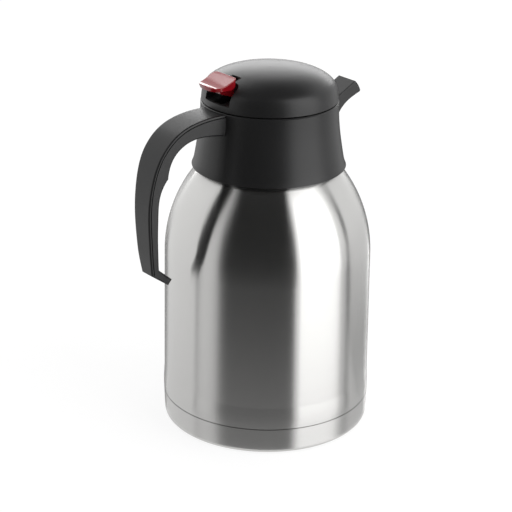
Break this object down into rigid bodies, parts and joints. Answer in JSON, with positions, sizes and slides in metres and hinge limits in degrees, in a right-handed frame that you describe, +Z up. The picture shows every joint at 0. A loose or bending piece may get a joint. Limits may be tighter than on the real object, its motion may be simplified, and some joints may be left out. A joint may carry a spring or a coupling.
{
  "type": "thermal jug",
  "caption": "Vacuum jug with a satin steel body, black collar with beak and open hook handle, and a domed screw lid whose red thumb lever opens a pouring valve.",
  "frame": {"origin": "centre of the foot pad's underside, on the body's axis", "axes": "+Z up along the body, +X towards the pouring beak, -X towards the handle"},
  "size_m": [0.1821, 0.1492, 0.2601],
  "materials": {
    "steel_wall": "satin brushed round the body",
    "steel_inner": "plain drawn steel",
    "getter_metal": "dull",
    "pad_plastic": "matt",
    "black_plastic": "fine grained",
    "stopper_plastic": "smooth",
    "silicone": "soft translucent white",
    "fastener_steel": "plain",
    "red_plastic": "glossy"
  },
  "bodies": {
    "jug": {"outer_shell": "steel_wall", "base_shell": "steel_wall", "inner_flask": "steel_inner", "vacuum_base": "steel_inner", "seal_cap": "steel_inner", "getter": "getter_metal", "getter_clip": "steel_inner", "base_pad": "pad_plastic", "collar": "black_plastic", "neck_gasket": "silicone", "handle_cover": "black_plastic", "handle_screws": "fastener_steel"},
    "seal_ring": {"lid_gasket": "silicone"},
    "lid": {"lid_dome": "black_plastic", "lid_deck": "black_plastic", "stopper_body": "stopper_plastic", "flange_seal": "silicone", "stem_seal": "silicone", "lid_screws": "fastener_steel", "lever_pin": "fastener_steel"},
    "lever": {"thumb_lever": "red_plastic"},
    "valve": {"valve_stem": "fastener_steel", "valve_disc": "stopper_plastic", "valve_seal": "silicone", "spring_washer": "fastener_steel", "stem_nut": "fastener_steel", "valve_spring": "fastener_steel"}
  },
  "joints": [
    {"name": "lid_rise", "type": "slide", "parent": "jug", "child": "seal_ring", "axis": [0, 0, 1], "range_m": [0, 0.0795]},
    {"name": "lid_turn", "type": "hinge", "parent": "seal_ring", "child": "lid", "pos_m": [0, 0, 0.2369], "axis": [0, 0, 1], "range_deg": [0, 1190]},
    {"name": "lever_press", "type": "hinge", "parent": "lid", "child": "lever", "pos_m": [-0.023, 0, 0.245], "axis": [0, -1, 0], "range_deg": [0, 12]},
    {"name": "valve_lift", "type": "slide", "parent": "lid", "child": "valve", "axis": [0, 0, 1], "range_m": [0, 0.00475], "stiffness_N_per_m": 490, "springref_m": -0.0015, "deforming": ["valve_spring"]}
  ],
  "couplings": [
    {"joint": "lid_rise", "follows": "lid_turn", "m_per_rad": 0.0038197},
    {"joint": "lever_press", "follows": "valve_lift", "rad_per_m": 44.05}
  ]
}
